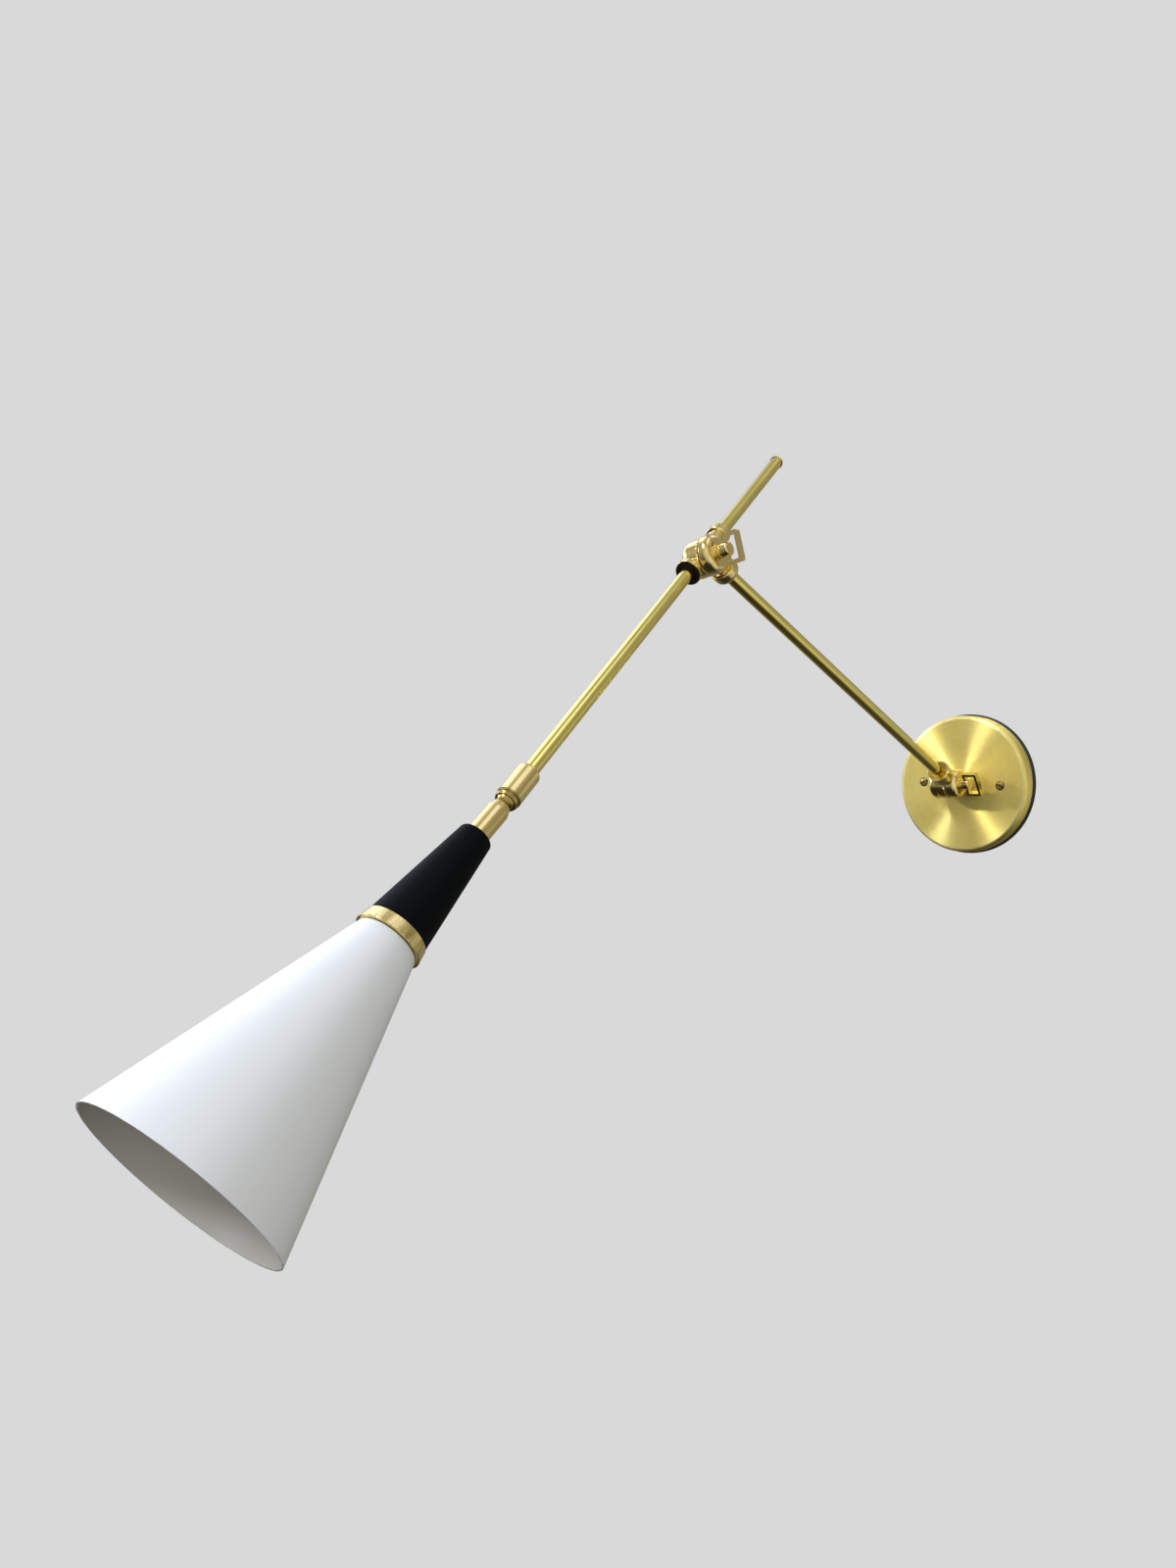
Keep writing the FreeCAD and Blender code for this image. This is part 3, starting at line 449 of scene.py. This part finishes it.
def screw_head(name, x, turn):
    """Slotted oval head seated in the plate's hole, the slot turned as it was left."""
    m = basis(Vector((x, 0, 0)), OUT, (math.cos(turn), 0, math.sin(turn)))
    r, face, top, slot, deep = 0.0033, 0.01502, 0.01575, 0.00048, 0.00066
    bm = bmesh.new()
    nx = 44
    rows = {}
    ys = [-1.0, -0.97, -0.9, -0.8, -0.66, -0.5, -0.34, -0.2, -slot / r - 0.01, -slot / r, slot / r, slot / r + 0.01, 0.2, 0.34, 0.5, 0.66, 0.8, 0.9, 0.97, 1.0]

    def height(u, v):
        q = min(1.0, u * u + v * v)
        z = face + (top - face) * math.sqrt(max(0.0, 1.0 - q * 0.86))
        if abs(v) <= slot / r + 0.001:
            z -= deep
        return z
    grid = []
    for v in ys:
        half = math.sqrt(max(0.0, 1.0 - v * v))
        row = [bm.verts.new(m @ Vector((r * half * math.sin(math.pi / 2 * (2 * i / nx - 1)), r * v, height(half * math.sin(math.pi / 2 * (2 * i / nx - 1)), v))))
               for i in range(nx + 1)]
        grid.append(row)
    low = [[bm.verts.new(m @ Vector(((m.inverted() @ q.co).x, (m.inverted() @ q.co).y, face))) for q in row] for row in grid]
    for g, flip in ((grid, False), (low, True)):
        for a, b in zip(g, g[1:]):
            for i in range(nx):
                f = (a[i], a[i + 1], b[i + 1], b[i])
                bm.faces.new(tuple(reversed(f)) if flip else f)
    for a, b in zip(range(len(grid) - 1), range(1, len(grid))):
        bm.faces.new((grid[a][0], grid[b][0], low[b][0], low[a][0]))
        bm.faces.new((grid[b][nx], grid[a][nx], low[a][nx], low[b][nx]))
    bmesh.ops.remove_doubles(bm, verts=bm.verts, dist=1e-7)
    bmesh.ops.dissolve_degenerate(bm, edges=bm.edges, dist=1e-8)
    bmesh.ops.recalc_face_normals(bm, faces=bm.faces)
    o = link(name, bm, MAT["screw"], "wall_plate")
    o.data.materials.append(MAT["recess_shade_dark"])
    # painted shade: the slot's faces take the dark colour, for the shade inside the slot
    inv = m.inverted()
    for f in o.data.polygons:
        f.use_smooth = False
        c = inv @ f.center
        if abs(c.y) <= slot + 0.00012 and c.z < 0.0155 and math.hypot(c.x, c.y) < r * 0.98:
            f.material_index = 1
    # dark rim of the countersink that shows round the head
    # painted shadow: a dark ring round the head, where the countersink lies in shade
    bm = bmesh.new()
    lathe(bm, [(0.00325, 0.01500), (0.0041, 0.01500), (0.0041, 0.01506), (0.0039, 0.01512), (0.0035, 0.01512), (0.00325, 0.01506), (0.00325, 0.01500)],
          basis(Vector((x, 0, 0)), OUT, (1, 0, 0)))
    bmesh.ops.remove_doubles(bm, verts=bm.verts, dist=1e-7)
    bmesh.ops.recalc_face_normals(bm, faces=bm.faces)
    ring = link(name + "_painted_shadow_ring", bm, MAT["recess_shade_dark"], "wall_plate")
    return o


screw_head("wall_screw_left", -0.0375, math.radians(28))
screw_head("wall_screw_right", 0.0375, math.radians(-22))


def torus(name, matrix, radius, bar, level, mat, body, slot, squeeze=1.0):
    bm = bmesh.new()
    prof = [(radius + bar * math.cos(a), level + bar * squeeze * math.sin(a)) for a in [2 * math.pi * i / 10 for i in range(11)]]
    lathe(bm, prof, matrix, 64)
    bmesh.ops.remove_doubles(bm, verts=bm.verts, dist=1e-7)
    bmesh.ops.recalc_face_normals(bm, faces=bm.faces)
    o = link(name, bm, mat, body)
    return o


def helix(name, matrix, radius, bar, low, high, pitch, mat, body):
    """Rounded thread ridge wound round local Z."""
    turns = (high - low) / pitch
    steps = int(turns * 40)
    bm = bmesh.new()
    prev = None
    for k in range(steps + 1):
        a = 2 * math.pi * turns * k / steps
        fade = min(1.0, k / 12.0, (steps - k) / 12.0) * 0.85 + 0.15
        c = Vector((math.cos(a), math.sin(a), 0))
        ring = []
        for i in range(8):
            b = 2 * math.pi * i / 8
            q = c * (radius + bar * fade * math.cos(b)) + Vector((0, 0, low + pitch * turns * k / steps + bar * fade * 1.3 * math.sin(b)))
            ring.append(bm.verts.new(matrix @ q))
        if prev:
            for i in range(8):
                j = (i + 1) % 8
                bm.faces.new((prev[i], prev[j], ring[j], ring[i]))
        else:
            bm.faces.new(ring)
        prev = ring
    bm.faces.new(list(reversed(prev)))
    bmesh.ops.recalc_face_normals(bm, faces=bm.faces)
    o = link(name, bm, mat, body)
    return o


def teeth(name, matrix, radius, depth, low, high, count, mat, body):
    """Ring of fine rounded teeth round local Z, cut like a friction clutch."""
    bm = bmesh.new()
    per = 6
    n = count * per
    loops = []
    for rr, z in ((radius - 1.2e-3, low), (radius, low), (radius, low + 0.25 * (high - low)), (radius, high - 0.25 * (high - low)), (radius, high), (radius - 1.2e-3, high)):
        row = []
        for i in range(n):
            a = 2 * math.pi * i / n
            q = rr
            if rr == radius:
                q = rr - depth * (0.5 - 0.5 * math.cos(count * a)) - (depth * 0.5 if z in (low, high) else 0.0)
            row.append(bm.verts.new(matrix @ Vector((q * math.cos(a), q * math.sin(a), z))))
        loops.append(row)
    for a, b in zip(loops, loops[1:] + loops[:1]):
        for i in range(n):
            j = (i + 1) % n
            bm.faces.new((a[i], a[j], b[j], b[i]))
    bmesh.ops.recalc_face_normals(bm, faces=bm.faces)
    o = link(name, bm, mat, body)
    return o


teeth("elbow_clutch_teeth", basis(E1, N2, A2), 0.01402, 0.00032, -0.0019, -0.0006, 64, MAT["k2"], "elbow_sleeve")
teeth("wall_clutch_teeth", basis(JW, N1, A1), 0.01282, 0.00030, -0.0019, -0.0006, 60, MAT["k1"], "arm1")

helix("lampholder_thread", hd, 0.00705, 0.00032, 0.0835, 0.1045, 0.0028, MAT["nickel"], "head")

# ------------------------------------------------------------------ stage and light
def rgb(v):
    return ((v / 255.0 + 0.055) / 1.055) ** 2.4


BG = rgb(217)


def only_camera(o):
    o.visible_diffuse = False
    o.visible_glossy = False
    o.visible_transmission = False
    o.visible_shadow = False


def emitter(name, colour, strength):
    m = bpy.data.materials.new(name)
    m.use_nodes = True
    t = m.node_tree
    for n in list(t.nodes):
        if n.type != "OUTPUT_MATERIAL":
            t.nodes.remove(n)
    e = t.nodes.new("ShaderNodeEmission")
    e.inputs["Color"].default_value = (*colour, 1)
    e.inputs["Strength"].default_value = strength
    # seen, but lights nothing
    lp = t.nodes.new("ShaderNodeLightPath")
    mu = t.nodes.new("ShaderNodeMath")
    mu.operation = "MULTIPLY"
    mu.inputs[1].default_value = strength
    t.links.new(lp.outputs["Is Camera Ray"], mu.inputs[0])
    t.links.new(mu.outputs[0], e.inputs["Strength"])
    t.links.new(e.outputs[0], [n for n in t.nodes if n.type == "OUTPUT_MATERIAL"][0].inputs["Surface"])
    return m


def backdrop():
    bm = bmesh.new()
    bmesh.ops.create_uvsphere(bm, u_segments=48, v_segments=24, radius=14.0)
    bmesh.ops.reverse_faces(bm, faces=bm.faces)
    me = bpy.data.meshes.new("backdrop")
    bm.to_mesh(me)
    o = bpy.data.objects.new("backdrop", me)
    scene.collection.objects.link(o)
    me.materials.append(emitter("backdrop_grey", (BG, BG, BG), 1.0))
    only_camera(o)
    # pale floor well below the lamp
    bm = bmesh.new()
    bmesh.ops.create_grid(bm, x_segments=2, y_segments=2, size=13.0)
    me = bpy.data.meshes.new("floor")
    bm.to_mesh(me)
    f = bpy.data.objects.new("floor", me)
    scene.collection.objects.link(f)
    f.location = (0, 0, -1.25)
    me.materials.append(emitter("floor_grey", (BG, BG, BG), 1.0))
    only_camera(f)


backdrop()


def area(name, where, size_xy, power, target=(0.0, -0.25, 0.0), colour=(1, 1, 1), spread=180):
    d = bpy.data.lights.new(name, "AREA")
    d.shape = "RECTANGLE"
    d.size, d.size_y = size_xy
    d.energy = power
    d.color = colour
    d.spread = math.radians(spread)
    o = bpy.data.objects.new(name, d)
    scene.collection.objects.link(o)
    o.location = where
    back = (Vector(where) - Vector(target)).normalized()
    o.rotation_mode = "QUATERNION"
    o.rotation_quaternion = back.to_track_quat("Z", "Y")
    return o


def at(direction, dist, target=(0, 0, 0)):
    return Vector(target) + Vector(direction).normalized() * dist


area("key", at((-0.78, -0.55, 0.31), 2.4, (0, -0.2, 0)), (0.12, 0.12), 16.5, target=(0, -0.2, 0), colour=(1.0, 0.99, 0.96))

world = bpy.data.worlds.new("soft_room")
scene.world = world
world.use_nodes = True
wt = world.node_tree
bgn = wt.nodes["Background"]
tc = wt.nodes.new("ShaderNodeTexCoord")


def wnode(kind, **kw):
    n = wt.nodes.new(kind)
    for k, v in kw.items():
        setattr(n, k, v)
    return n


def card(direction, full, none, colour, strength):
    """Soft bright patch of the room: full inside one angle, none outside the other."""
    d = wnode("ShaderNodeVectorMath", operation="DOT_PRODUCT")
    d.inputs[1].default_value = Vector(direction).normalized()
    wt.links.new(tc.outputs["Generated"], d.inputs[0])
    mr = wnode("ShaderNodeMapRange", interpolation_type="SMOOTHSTEP")
    mr.inputs[1].default_value = math.cos(math.radians(none))
    mr.inputs[2].default_value = math.cos(math.radians(full))
    mr.inputs[3].default_value = 0.0
    mr.inputs[4].default_value = strength
    wt.links.new(d.outputs["Value"], mr.inputs[0])
    v = wnode("ShaderNodeVectorMath", operation="SCALE")
    v.inputs[0].default_value = colour
    wt.links.new(mr.outputs[0], v.inputs["Scale"])
    return v.outputs[0]


cards = [
    card((0, 0.45, 0.90), 75, 150, (1.0, 0.94, 0.80), 0.27),          # walls fall off towards the floor
    card((0, 0, 1), 10, 80, (1.0, 1.0, 1.0), 0.16),             # ceiling
    card((0.40, 0.10, 0.91), 12, 22, (0.94, 1.04, 1.42), 0.80),  # ceiling panels
    card((-0.52, 0.00, 0.85), 10, 22, (0.94, 1.04, 1.42), 1.00),
    card((-0.84, 0.18, 0.51), 13, 26, (0.94, 1.04, 1.42), 0.95),
    card((0.04, 0.66, 0.75), 7, 14, (1.0, 1.0, 1.06), 0.9),      # wall panel above
    card((0.50, 0.86, 0.05), 6, 17, (1.0, 1.0, 1.0), 0.22),
    card((0.92, 0.22, -0.30), 16, 38, (1.0, 1.0, 1.04), 0.5),       # right reflector
    card((-0.35, -0.92, 0.08), 14, 40, (0.99, 1.01, 1.06), 0.18),   # front softbox
    card((-0.20, -0.70, 0.68), 4, 9, (0.97, 1.03, 1.18), 32.0),   # window
    card((0.66, -0.72, 0.06), 20, 58, (0.99, 1.01, 1.02), 0.60),
    card((-0.94, -0.32, 0.10), 12, 30, (0.99, 1.01, 1.03), 0.9),   # left reflector
]
total = None
for c in cards:
    if total is None:
        total = c
        continue
    add = wnode("ShaderNodeVectorMath", operation="ADD")
    wt.links.new(total, add.inputs[0])
    wt.links.new(c, add.inputs[1])
    total = add.outputs[0]
base = wnode("ShaderNodeVectorMath", operation="ADD")
base.inputs[1].default_value = (0.030, 0.026, 0.016)
wt.links.new(total, base.inputs[0])
wt.links.new(base.outputs[0], bgn.inputs[0])
bgn.inputs[1].default_value = 1.0

# ------------------------------------------------------------------ camera
FOCAL = 1200.0
right = Vector((0.6922, 0.7212, 0.0275)).normalized()
back = Vector((0.7202, -0.6927, 0.0387))
back = (back - right * back.dot(right)).normalized()
up = back.cross(right)
cam_data = bpy.data.cameras.new("camera")
cam = bpy.data.objects.new("camera", cam_data)
scene.collection.objects.link(cam)
m = Matrix((right, up, back)).transposed().to_4x4()
m.translation = Vector((0.5352, -1.0001, 0.0319))
cam.matrix_world = m
cam_data.sensor_fit = "AUTO"
cam_data.sensor_width = 36.0
cam_data.lens = 36.0 * FOCAL / 1600.0
cam_data.clip_start = 0.02
cam_data.clip_end = 60.0
scene.camera = cam
scene.view_settings.view_transform = "Standard"
scene.view_settings.look = "None"
scene.view_settings.exposure = 0.0
